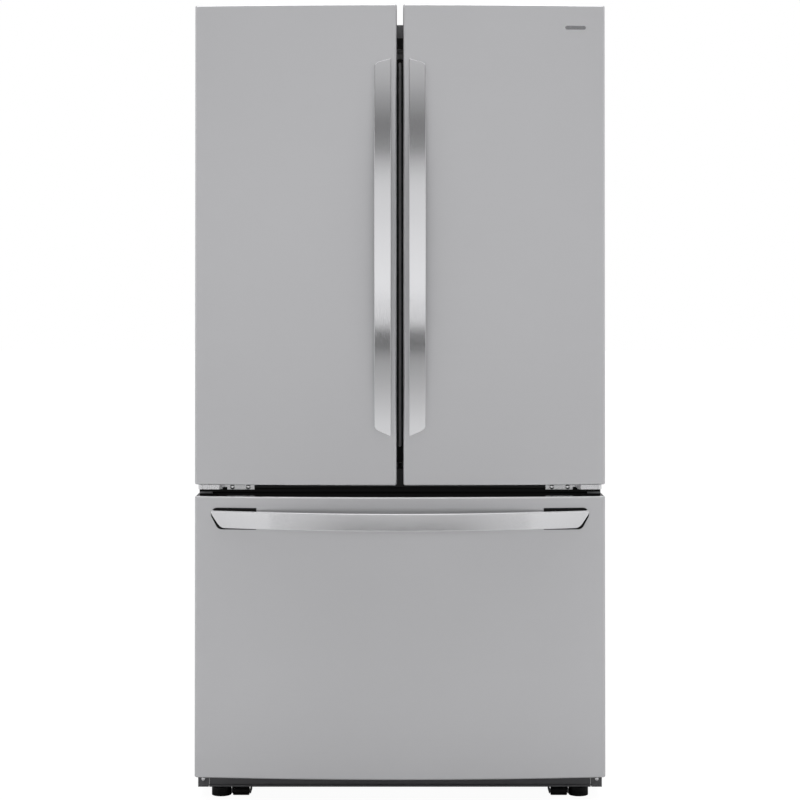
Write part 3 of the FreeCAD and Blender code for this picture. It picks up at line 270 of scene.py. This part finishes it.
FINISH = {
    STEEL: ["left_door_skin", "right_door_skin", "drawer_skin"],
    HANDLE: ["left_door_handle", "right_door_handle"],
    BAR: ["drawer_handle"],
    CASE: ["outer_case", "back_panel", "hinge_covers"],
    LINER: ["fresh_food_liner", "freezer_liner", "left_door_liner", "right_door_liner",
            "drawer_liner", "freezer_tray", "evaporator_cover", "control_panel"],
    FOAM: ["cabinet_foam", "left_door_foam", "right_door_foam", "drawer_foam"],
    SEAL: ["left_door_gasket", "right_door_gasket", "drawer_gasket"],
    CAP: ["left_door_caps", "right_door_caps"],
    GLOSS: ["drawer_caps", "centre_rail"],
    FLAP: ["mullion_flap", "drawer_handle_gaskets"],
    STRIP: ["mullion_trim_strip"],
    CLEAR: ["left_door_bins", "right_door_bins", "left_crisper", "right_crisper",
            "pantry_drawer"],
    GLASS: ["glass_shelves"],
    FRAME: ["shelf_frames"],
    BASKET: ["drawer_basket"],
    ZINC: ["freezer_rails_outer", "freezer_rails_middle", "freezer_rails_inner", "top_hinges",
           "machine_cover"],
    HINGE: ["middle_hinges"],
    SCREW: ["cabinet_screws"],
    KICK: ["kick_plate", "base_frame"],
    METAL: ["evaporator", "condenser"],
    COPPER: ["refrigerant_tubes"],
    ENAMEL: ["compressor"],
    BLACK: ["drain_pan", "condenser_fan", "evaporator_fan", "power_inlet"],
    FOOT: ["left_levelling_leg", "right_levelling_leg", "front_rollers", "rear_rollers"],
}

# edge rounding of each node that shows, in metres
EDGES = {
    "drawer_skin": 0.0005, "left_door_skin": 0.0005, "right_door_skin": 0.0005,
    "hinge_covers": 0.003, "middle_hinges": 0.0012, "kick_plate": 0.0008,
    "left_levelling_leg": 0.002, "right_levelling_leg": 0.002, "front_rollers": 0.002,
    "rear_rollers": 0.002, "left_door_caps": 0.001, "right_door_caps": 0.001,
    "mullion_flap": 0.0015, "shelf_frames": 0.002, "control_panel": 0.004,
    "outer_case": 0.0004, "base_frame": 0.0006, "top_hinges": 0.0008,
    "drawer_liner": 0.002, "left_door_liner": 0.004, "right_door_liner": 0.004,
    "drawer_basket": 0.0012, "freezer_tray": 0.0012, "left_crisper": 0.0012,
    "right_crisper": 0.0012, "pantry_drawer": 0.0012, "left_door_bins": 0.0012,
    "right_door_bins": 0.0012, "power_inlet": 0.0006, "drain_pan": 0.001,
}
EDGE_ANGLE = math.radians(32)


def dress(names, mat):
    """Gives each of the nodes one finish."""
    for name in names:
        mesh = nodes[name].data
        mesh.materials.clear()
        mesh.materials.append(mat)


def soften(name, width):
    """Welds a node's split vertices and rounds its hard edges."""
    piece = nodes[name]
    weld = piece.modifiers.new("weld", "WELD")
    weld.merge_threshold = 0.00001
    bevel = piece.modifiers.new("edges", "BEVEL")
    bevel.width = width
    bevel.segments = 3
    bevel.limit_method = "ANGLE"
    bevel.angle_limit = EDGE_ANGLE
    bevel.harden_normals = False
    bevel.use_clamp_overlap = True


for mat, names in FINISH.items():
    dress(names, mat)
for name, width in EDGES.items():
    soften(name, width)


def paint_front(name, mat, plane):
    """Gives a node's faces in front of a plane across Y a second material, here a painted shade.
    """
    mesh = nodes[name].data
    mesh.materials.append(mat)
    for face in mesh.polygons:
        if face.center.y < plane:
            face.material_index = 1


# the liners' front lips take the near black painted shade of the gaps they sit in
LIP_DEEP = 0.001
for liner in ("fresh_food_liner", "freezer_liner"):
    paint_front(liner, SHADE_BLACK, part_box(liner)[0].y + LIP_DEEP)


# ---- made pieces ----

def made(name, points, faces, mat, body, flat=()):
    """A new mesh piece, smooth but for the faces whose numbers are in flat."""
    mesh = bpy.data.meshes.new(name)
    mesh.from_pydata(points, [], faces)
    mesh.materials.append(mat)
    for number, face in enumerate(mesh.polygons):
        face.use_smooth = number not in flat
    piece = bpy.data.objects.new(name, mesh)
    scene.collection.objects.link(piece)
    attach(piece, body)
    return piece


def sagitta(along, half, rise):
    """How far an arc through (-half, rise), (0, 0) and (half, rise) has risen at along."""
    radius = (half * half + rise * rise) / (2 * rise)
    return radius - math.sqrt(radius * radius - along * along)


def corner_run(across, edge, radius):
    """How much a rounded corner takes off at a distance across from its side."""
    near = abs(edge - across)
    if near >= radius:
        return 0.0
    return radius - math.sqrt(radius * radius - (radius - near) ** 2)


GRIP_EDGE = 0.0014         # rounding of a handle's long edges
EDGE_STEPS = (0, 0.12, 0.3, 0.6, 1.0, 1.25)
CROSS_STEPS = 8            # faces across a handle
LONG_STEPS = 120           # faces along it
GRIP_TIGHT = 0.0004        # share of the length within which its ends stay crisp


def bowed_grip(name, stand_in, body, mat, upright, low, high, wide, crown, tip, inner, faces_at,
               span, cut_low, cut_high, round_w, round_both):
    """A flat bar bowed outward, as wide as the pair wide, between low and high along its length.

    crown and tip are Y at the middle and the ends of its front, inner at the middle of its
    back, and faces_at at the inner and outer ends of its two lands, which start at span.
    cut_low and cut_high are how much the slant takes off each end at the far side."""
    mid, half = (low + high) / 2, (high - low) / 2
    near, far = wide
    total = abs(far - near)
    edge = GRIP_EDGE
    runs = [edge * k for k in EDGE_STEPS]
    middle = [total * k / CROSS_STEPS for k in range(1, CROSS_STEPS)]
    across = runs + middle + [total - r for r in reversed(runs)]
    stations = [0, GRIP_TIGHT] + [k / LONG_STEPS for k in range(1, LONG_STEPS)]
    stations += [1 - GRIP_TIGHT, 1]

    def limits(u):
        share = u / total
        first = low + cut_low * share + corner_run(u, total, round_w)
        last = high - cut_high * share - corner_run(u, total, round_w)
        if round_both:
            first += corner_run(u, 0, round_w)
            last -= corner_run(u, 0, round_w)
        return first, last

    def back_at(along):
        reach = abs(along)
        if reach < span:
            return inner + sagitta(reach, span, faces_at[0] - inner)
        share = (reach - span) / (half - span)
        return faces_at[0] + share * (faces_at[1] - faces_at[0])

    def spot(u, t, back):
        first, last = limits(u)
        place = first + t * (last - first)
        along = min(half, max(-half, place - mid))
        inset = corner_run(min(u, total - u), 0, edge)
        if back:
            depth = back_at(along) - inset / 2
        else:
            depth = crown + sagitta(along, half, tip - crown) + inset
        side = near + (far - near) * u / total
        return (side, depth, place) if upright else (place, depth, side)

    points = []
    for t in stations:
        points += [spot(u, t, False) for u in across]
        points += [spot(u, t, True) for u in reversed(across)]
    loop = 2 * len(across)
    faces = []
    for i in range(len(stations) - 1):
        for j in range(loop):
            k = (j + 1) % loop
            faces.append((i * loop + j, i * loop + k, (i + 1) * loop + k, (i + 1) * loop + j))
    faces.append(tuple(reversed(range(loop))))
    faces.append(tuple(range((len(stations) - 1) * loop, len(stations) * loop)))
    turned = (far > near) != upright
    if turned:
        faces = [tuple(reversed(face)) for face in faces]
    piece = made(name, points, faces, mat, body, (len(faces) - 2, len(faces) - 1))
    # the grip's back faces get black: painted shade of the pocket behind the handle, which the
    # steel beside it reflects dark
    piece.data.materials.append(BLACK)
    for number, face in enumerate(piece.data.polygons):
        shaded_back = number < len(faces) - 2 and number % loop > len(across)
        face.material_index = 1 if shaded_back and number % loop < loop - 2 else 0
    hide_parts(stand_in)
    return piece


BOW = -0.397               # Y of the doors' and the drawer's front at its middle
BULGE = 0.025              # how far that is in front of their side edges
STAND = -0.4605            # Y of the handles' outer crown


GRIP_NEAR, GRIP_FAR = 0.020, 0.056    # X of the door handles' two long edges
BAR_HALF = 0.4208          # half the drawer handle's length
BAR_THICK = 0.016
BAR_LAND = 0.100           # length of each flat that rests on the drawer
BAR_LAND_Y = -0.38696      # Y of that flat's inner end


def handles():
    """The three bowed handles stand where the CAD has its plain ones."""
    for s, side in ((-1, "left"), (1, "right")):
        low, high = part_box(f"{side}_door_handle")
        bowed_grip(f"{side}_grip", f"{side}_door_handle", f"{side}_door", HANDLE, upright=True,
                   low=low.z, high=high.z, wide=(s * GRIP_NEAR, s * GRIP_FAR), crown=STAND,
                   tip=BOW - 0.0075, inner=STAND + 0.015, faces_at=(BOW - 0.0005, BOW - 0.0005),
                   span=(high.z - low.z) / 2 - 0.070, cut_low=0.016, cut_high=0.010,
                   round_w=0.008, round_both=False)
    low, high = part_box("drawer_handle")
    bowed_grip("drawer_grip", "drawer_handle", "freezer_drawer", BAR, upright=False,
               low=-BAR_HALF, high=BAR_HALF, wide=(high.z, low.z), crown=STAND,
               tip=high.y - 0.009, inner=STAND + BAR_THICK, faces_at=(BAR_LAND_Y, high.y),
               span=BAR_HALF - BAR_LAND, cut_low=0.026, cut_high=0.026,
               round_w=0.009, round_both=True)


handles()


def screw(place, axis, radius, thick, body, name):
    """A domed head with a six-sided socket, its foot at place, facing along axis."""
    profile = [(radius, 0.0), (radius, 0.35), (radius * 0.93, 0.62), (radius * 0.78, 0.84),
               (radius * 0.55, 0.96), (radius * 0.46, 1.0)]
    count = 24
    turn = Vector(axis).to_track_quat("Z", "Y")
    points = []
    for r, height in profile:
        for k in range(count):
            angle = 2 * math.pi * k / count
            points.append(Vector((r * math.cos(angle), r * math.sin(angle), height * thick)))
    for height in (0.98, 0.3):
        for k in range(count):
            angle = 2 * math.pi * k / count
            flat = math.cos(math.pi / 6) / math.cos((angle % (math.pi / 3)) - math.pi / 6)
            r = radius * 0.40 * flat
            points.append(Vector((r * math.cos(angle), r * math.sin(angle), height * thick)))
    rings = len(points) // count
    faces = []
    for i in range(rings - 1):
        for k in range(count):
            n = (k + 1) % count
            faces.append((i * count + k, i * count + n, (i + 1) * count + n,
                          (i + 1) * count + k))
    faces.append(tuple(range((rings - 1) * count, rings * count)))
    spots = [turn @ point + Vector(place) for point in points]
    return made(name, spots, faces, SCREW, body, (len(faces) - 1,))


HEAD = 0.0055              # radius of a hinge screw's head
HEAD_THICK = 0.0025
KICK_HEAD = 0.0045         # radius of a kick plate screw's head
HINGE_SCREWS_X = (0.3775, 0.342)
HINGE_SCREWS_Z = 0.693
KICK_SCREW_X, KICK_SCREW_Z = 0.44175, 0.0385
ROOF_SCREW_X = 0.407
ROOF_SCREWS_Y = (-0.243, -0.208)


def screws():
    """The heads of every screw of the cabinet stand where the CAD has its plain discs."""
    rail_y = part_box("outer_case")[0].y - 0.003
    roof_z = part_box("top_hinges")[1].z
    kick_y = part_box("kick_plate")[0].y + 0.001
    heads = []
    for s in (-1, 1):
        for x in HINGE_SCREWS_X:
            heads.append(((s * x, rail_y, HINGE_SCREWS_Z), (0, -1, 0), HEAD))
        heads.append(((s * KICK_SCREW_X, kick_y, KICK_SCREW_Z), (0, -1, 0), KICK_HEAD))
        for y in ROOF_SCREWS_Y:
            heads.append(((s * ROOF_SCREW_X, y, roof_z), (0, 0, 1), HEAD))
    for number, (place, axis, radius) in enumerate(heads):
        piece = screw(place, axis, radius, HEAD_THICK, "cabinet", f"screw_{number}")
        if number == 0:
            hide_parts("cabinet_screws")


screws()


def rounded_plate(name, centre, wide, high, thick, mat, body, tilt=0.0):
    """A thin plate in the XZ plane with fully rounded ends, its front towards -Y."""
    outline = []
    radius = high / 2
    for end in (1, -1):
        for k in range(13):
            angle = -math.pi / 2 + math.pi * k / 12
            x = end * (wide / 2 - radius + radius * math.cos(angle))
            outline.append((x, end * radius * math.sin(angle)))
    count = len(outline)
    rows = [(1.0, 0.0), (1.0, -0.7 * thick), (0.0, -thick)]
    points = []
    for scale, depth in rows:
        shrink = 0.0 if scale else 0.3 * thick
        for x, z in outline:
            reach = math.hypot(x, z)
            k = 1 - shrink / reach
            local = Vector((x * k, depth, z * k))
            local.rotate(Euler((0, 0, tilt)))
            points.append(local + Vector(centre))
    faces = []
    for i in range(len(rows) - 1):
        for k in range(count):
            n = (k + 1) % count
            faces.append((i * count + k, i * count + n, (i + 1) * count + n,
                          (i + 1) * count + k))
    last = (len(rows) - 1) * count
    faces.append(tuple(range(last, last + count)))
    faces.append(tuple(reversed(range(count))))
    return made(name, points, faces, mat, body, (len(faces) - 2, len(faces) - 1))


BADGE_IN, BADGE_DOWN = 0.0655, 0.050   # from the door's outer edge and from its top
BADGE_WIDE, BADGE_HIGH, BADGE_THICK = 0.046, 0.008, 0.0008


def badge():
    """A plain plate with no lettering at the right door's upper corner."""
    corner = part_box("right_door_skin")[1]
    x = corner.x - BADGE_IN
    radius = (corner.x ** 2 + BULGE ** 2) / (2 * BULGE)
    depth = BOW + sagitta(x, corner.x, BULGE)
    rounded_plate("badge", (x, depth, corner.z - BADGE_DOWN), BADGE_WIDE, BADGE_HIGH,
                  BADGE_THICK, BADGE, "right_door", math.asin(x / radius))


badge()


# near black strips that paint the shade in the gap between the doors and the drawer
SHADE_STRIP_IN, SHADE_STRIP_OUT = 0.4095, 0.4515     # X of the strips' two ends
SHADE_STRIP_PROUD = 0.0002
SHADE_STRIP_GAP = 0.001


def shade_strips():
    """Two black strips on the case's front edges, between the doors and the drawer: painted shade
    of the gap there.
    """
    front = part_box("outer_case")[0].y
    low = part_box("drawer_skin")[1].z + SHADE_STRIP_GAP
    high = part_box("left_door_skin")[0].z - SHADE_STRIP_GAP
    for s, side in ((-1, "left"), (1, "right")):
        points = []
        for y in (front - SHADE_STRIP_PROUD, front + SHADE_STRIP_PROUD):
            points += [(s * SHADE_STRIP_IN, y, low), (s * SHADE_STRIP_OUT, y, low), (s * SHADE_STRIP_OUT, y, high),
                       (s * SHADE_STRIP_IN, y, high)]
        faces = [(0, 1, 2, 3), (7, 6, 5, 4), (0, 4, 5, 1), (1, 5, 6, 2), (2, 6, 7, 3),
                 (3, 7, 4, 0)]
        if s < 0:
            faces = [tuple(reversed(face)) for face in faces]
        made(f"{side}_shade_strip", points, faces, SHADE_BLACK, "cabinet", tuple(range(6)))


shade_strips()


LENS_HALF = 0.11
LENS_NEAR, LENS_FAR = 0.045, 0.100     # from the housing's front to the lens's two long sides
# how far the lens's rings stand in from its outline, and how far below the housing
LENS_RINGS = ((0.0, 0.0), (0.0, 0.0012), (0.003, 0.0025))


def lamp():
    """The lens of the compartment's lamp, let into the housing under the roof."""
    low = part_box("control_panel")[0]
    y0, y1 = low.y + LENS_NEAR, low.y + LENS_FAR
    points = []
    for inset, drop in LENS_RINGS:
        for x, y in ((-LENS_HALF, y0), (LENS_HALF, y0), (LENS_HALF, y1), (-LENS_HALF, y1)):
            points.append((x - math.copysign(inset, x),
                           y + (inset if y == y0 else -inset), low.z - drop))
    faces = []
    for i in range(2):
        for k in range(4):
            n = (k + 1) % 4
            faces.append((i * 4 + k, (i + 1) * 4 + k, (i + 1) * 4 + n, i * 4 + n))
    faces.append((11, 10, 9, 8))
    made("lamp_lens", points, faces, LAMP, "cabinet", tuple(range(9)))


lamp()


# ---- studio ----

def fill_ramp(ramp, stops):
    """Sets a color ramp's stops, each a position and a color."""
    elements = ramp.color_ramp.elements
    while len(elements) < len(stops):
        elements.new(0.5)
    for element, (position, color) in zip(elements, stops):
        element.position = position
        element.color = (*color, 1)


def sky(elevations, sides):
    """A world whose brightness depends on direction, plain to the camera."""
    world = bpy.data.worlds.new("studio")
    scene.world = world
    world.use_nodes = True
    tree = world.node_tree
    place = tree.nodes.new("ShaderNodeTexCoord")
    split = tree.nodes.new("ShaderNodeSeparateXYZ")
    ramp = tree.nodes.new("ShaderNodeValToRGB")
    shift = tree.nodes.new("ShaderNodeMapRange")
    shift.inputs["From Min"].default_value = -1
    shift.inputs["From Max"].default_value = 1
    tree.links.new(place.outputs["Generated"], split.inputs["Vector"])
    tree.links.new(split.outputs["Z"], shift.inputs["Value"])
    tree.links.new(shift.outputs["Result"], ramp.inputs["Fac"])
    fill_ramp(ramp, [((math.sin(math.radians(degrees)) + 1) / 2, (level, level, level * 1.01))
                     for degrees, level in elevations])
    ramp.color_ramp.interpolation = "EASE"
    size = tree.nodes.new("ShaderNodeMath")
    size.operation = "ABSOLUTE"
    lean = tree.nodes.new("ShaderNodeValToRGB")
    fill_ramp(lean, [(position, (level,) * 3) for position, level in sides])
    tree.links.new(split.outputs["X"], size.inputs[0])
    tree.links.new(size.outputs["Value"], lean.inputs["Fac"])
    lit = tree.nodes["Background"]
    tree.links.new(ramp.outputs["Color"], lit.inputs["Color"])
    tree.links.new(lean.outputs["Color"], lit.inputs["Strength"])
    plain = tree.nodes.new("ShaderNodeBackground")
    plain.inputs["Color"].default_value = (1, 1, 1, 1)
    path = tree.nodes.new("ShaderNodeLightPath")
    mix = tree.nodes.new("ShaderNodeMixShader")
    tree.links.new(path.outputs["Is Camera Ray"], mix.inputs["Fac"])
    tree.links.new(lit.outputs["Background"], mix.inputs[1])
    tree.links.new(plain.outputs["Background"], mix.inputs[2])
    tree.links.new(mix.outputs["Shader"], tree.nodes["World Output"].inputs["Surface"])


def softbox(name, place, aim, size, power):
    """A rectangular lamp at place, facing aim."""
    lamp = bpy.data.lights.new(name, "AREA")
    lamp.shape = "RECTANGLE"
    lamp.size, lamp.size_y = size
    lamp.energy = power
    holder = bpy.data.objects.new(name, lamp)
    scene.collection.objects.link(holder)
    holder.location = place
    holder.rotation_euler = (Vector(aim) - Vector(place)).to_track_quat("-Z", "Y").to_euler()


FLOOR_REACH = 30           # how far the floor goes to the sides and the back
FLOOR_FRONT = -7.5         # Y of its front edge


def floor():
    """A white floor, darker in a band well in front of the object and with painted shade next to
    and under it, plain to the camera.
    """
    mesh = bpy.data.meshes.new("floor")
    reach = FLOOR_REACH
    mesh.from_pydata([(-reach, FLOOR_FRONT, 0), (reach, FLOOR_FRONT, 0), (reach, reach, 0),
                      (-reach, reach, 0)], [], [(0, 1, 2, 3)])
    ground = bpy.data.objects.new("floor", mesh)
    scene.collection.objects.link(ground)
    mat = material("pale_floor", (0.86, 0.86, 0.86), 0.0, 0.6)
    ramp = add(mat, "ShaderNodeValToRGB")
    place = add(mat, "ShaderNodeTexCoord")
    split = add(mat, "ShaderNodeSeparateXYZ")
    span = add(mat, "ShaderNodeMapRange")
    first, last = FLOOR_BANDS[0][0], FLOOR_BANDS[-1][0]
    span.inputs["From Min"].default_value = first
    span.inputs["From Max"].default_value = last
    wire(mat, place.outputs["Object"], split.inputs["Vector"])
    wire(mat, split.outputs["Y"], span.inputs["Value"])
    wire(mat, span.outputs["Result"], ramp.inputs["Fac"])
    fill_ramp(ramp, [((y - first) / (last - first), (level,) * 3) for y, level in FLOOR_BANDS])
    shader = mat.node_tree.nodes["Principled BSDF"]
    wire(mat, ramp.outputs["Color"], shader.inputs["Base Color"])
    glow = add(mat, "ShaderNodeEmission")
    glow.inputs["Strength"].default_value = 0.96
    white = add(mat, "ShaderNodeBsdfDiffuse")
    white.inputs["Color"].default_value = (0.1, 0.1, 0.1, 1)
    both = add(mat, "ShaderNodeAddShader")
    path = add(mat, "ShaderNodeLightPath")
    mix = add(mat, "ShaderNodeMixShader")
    wire(mat, glow.outputs["Emission"], both.inputs[0])
    wire(mat, white.outputs["BSDF"], both.inputs[1])
    wire(mat, path.outputs["Is Camera Ray"], mix.inputs["Fac"])
    wire(mat, shader.outputs["BSDF"], mix.inputs[1])
    wire(mat, both.outputs["Shader"], mix.inputs[2])
    wire(mat, mix.outputs["Shader"], mat.node_tree.nodes["Material Output"].inputs["Surface"])
    ground.data.materials.append(mat)


def low_card():
    """A low grey card in front, out of the camera's view, paler towards its ends."""
    mesh = bpy.data.meshes.new("low_card")
    x, y, top = CARD
    mesh.from_pydata([(-x, y, 0), (x, y, 0), (x, y, top), (-x, y, top)], [], [(0, 1, 2, 3)])
    card = bpy.data.objects.new("low_card", mesh)
    scene.collection.objects.link(card)
    mat = material("card_grey", (0.4, 0.4, 0.4), 0.0, 0.8)
    place = add(mat, "ShaderNodeTexCoord")
    split = add(mat, "ShaderNodeSeparateXYZ")
    size = add(mat, "ShaderNodeMath", operation="ABSOLUTE")
    span = add(mat, "ShaderNodeMapRange")
    span.inputs["From Max"].default_value = x
    ramp = add(mat, "ShaderNodeValToRGB")
    ramp.color_ramp.interpolation = "EASE"
    fill_ramp(ramp, [(position, (level,) * 3) for position, level in CARD_ALBEDO])
    wire(mat, place.outputs["Object"], split.inputs["Vector"])
    wire(mat, split.outputs["X"], size.inputs[0])
    wire(mat, size.outputs["Value"], span.inputs["Value"])
    wire(mat, span.outputs["Result"], ramp.inputs["Fac"])
    wire(mat, ramp.outputs["Color"], mat.node_tree.nodes["Principled BSDF"].inputs["Base Color"])
    card.data.materials.append(mat)


# half width, Y and height of the low card
CARD = (2.0, -3.45, 0.30)
# its albedo by the share of its half width
CARD_ALBEDO = ((0.12, 0.22), (1.0, 1.0))
# albedo of the floor by Y, with a painted shade where it dips next to and under the object
FLOOR_BANDS = [(-8.0, 0.95), (-5.5, 0.95), (-4.0, 0.85), (-3.45, 0.45), (-2.9, 0.47),
               (-2.4, 0.55), (-2.0, 0.68), (-1.7, 0.82), (-1.2, 0.84), (-0.8, 0.68), (-0.5, 0.68),
               (2.0, 0.8)]
# brightness of the world by degrees above the horizon
SKY = [(-90, 0.6), (-9, 0.82), (-5.5, 0.86),
       (-2, 0.82), (3, 0.78), (7, 0.72), (10, 0.71), (13, 0.68), (16.5, 0.54), (19.5, 0.24),
       (24.5, 0.18), (28.5, 0.32), (33.5, 0.47), (38, 0.52), (50, 0.6), (62, 1.5), (90, 1.9)]
# the same by how far a direction leans sideways, from 0 straight ahead to 1
SIDES = [(0, 1.13), (0.06, 1.15), (0.155, 1.06), (0.26, 0.95), (0.31, 0.96), (0.5, 0.94),
         (0.8, 1.2), (1, 1.3)]
sky(SKY, SIDES)
softbox("overhead", place=(0, -0.9, 3.4), aim=(0, -0.3, 0), size=(3, 1.3), power=14)
floor()
low_card()


def camera():
    """The camera straight in front, its verticals kept upright by the lens shift."""
    lens = bpy.data.cameras.new("camera")
    lens.lens = CAMERA_LENS
    lens.shift_y = CAMERA_SHIFT
    holder = bpy.data.objects.new("camera", lens)
    scene.collection.objects.link(holder)
    holder.location = (0, DOOR_EDGE_Y - CAMERA_AWAY, CAMERA_HIGH)
    holder.rotation_euler = (math.radians(90 + CAMERA_RISE), 0, 0)
    scene.camera = holder
    scene.view_settings.view_transform = "Standard"


camera()
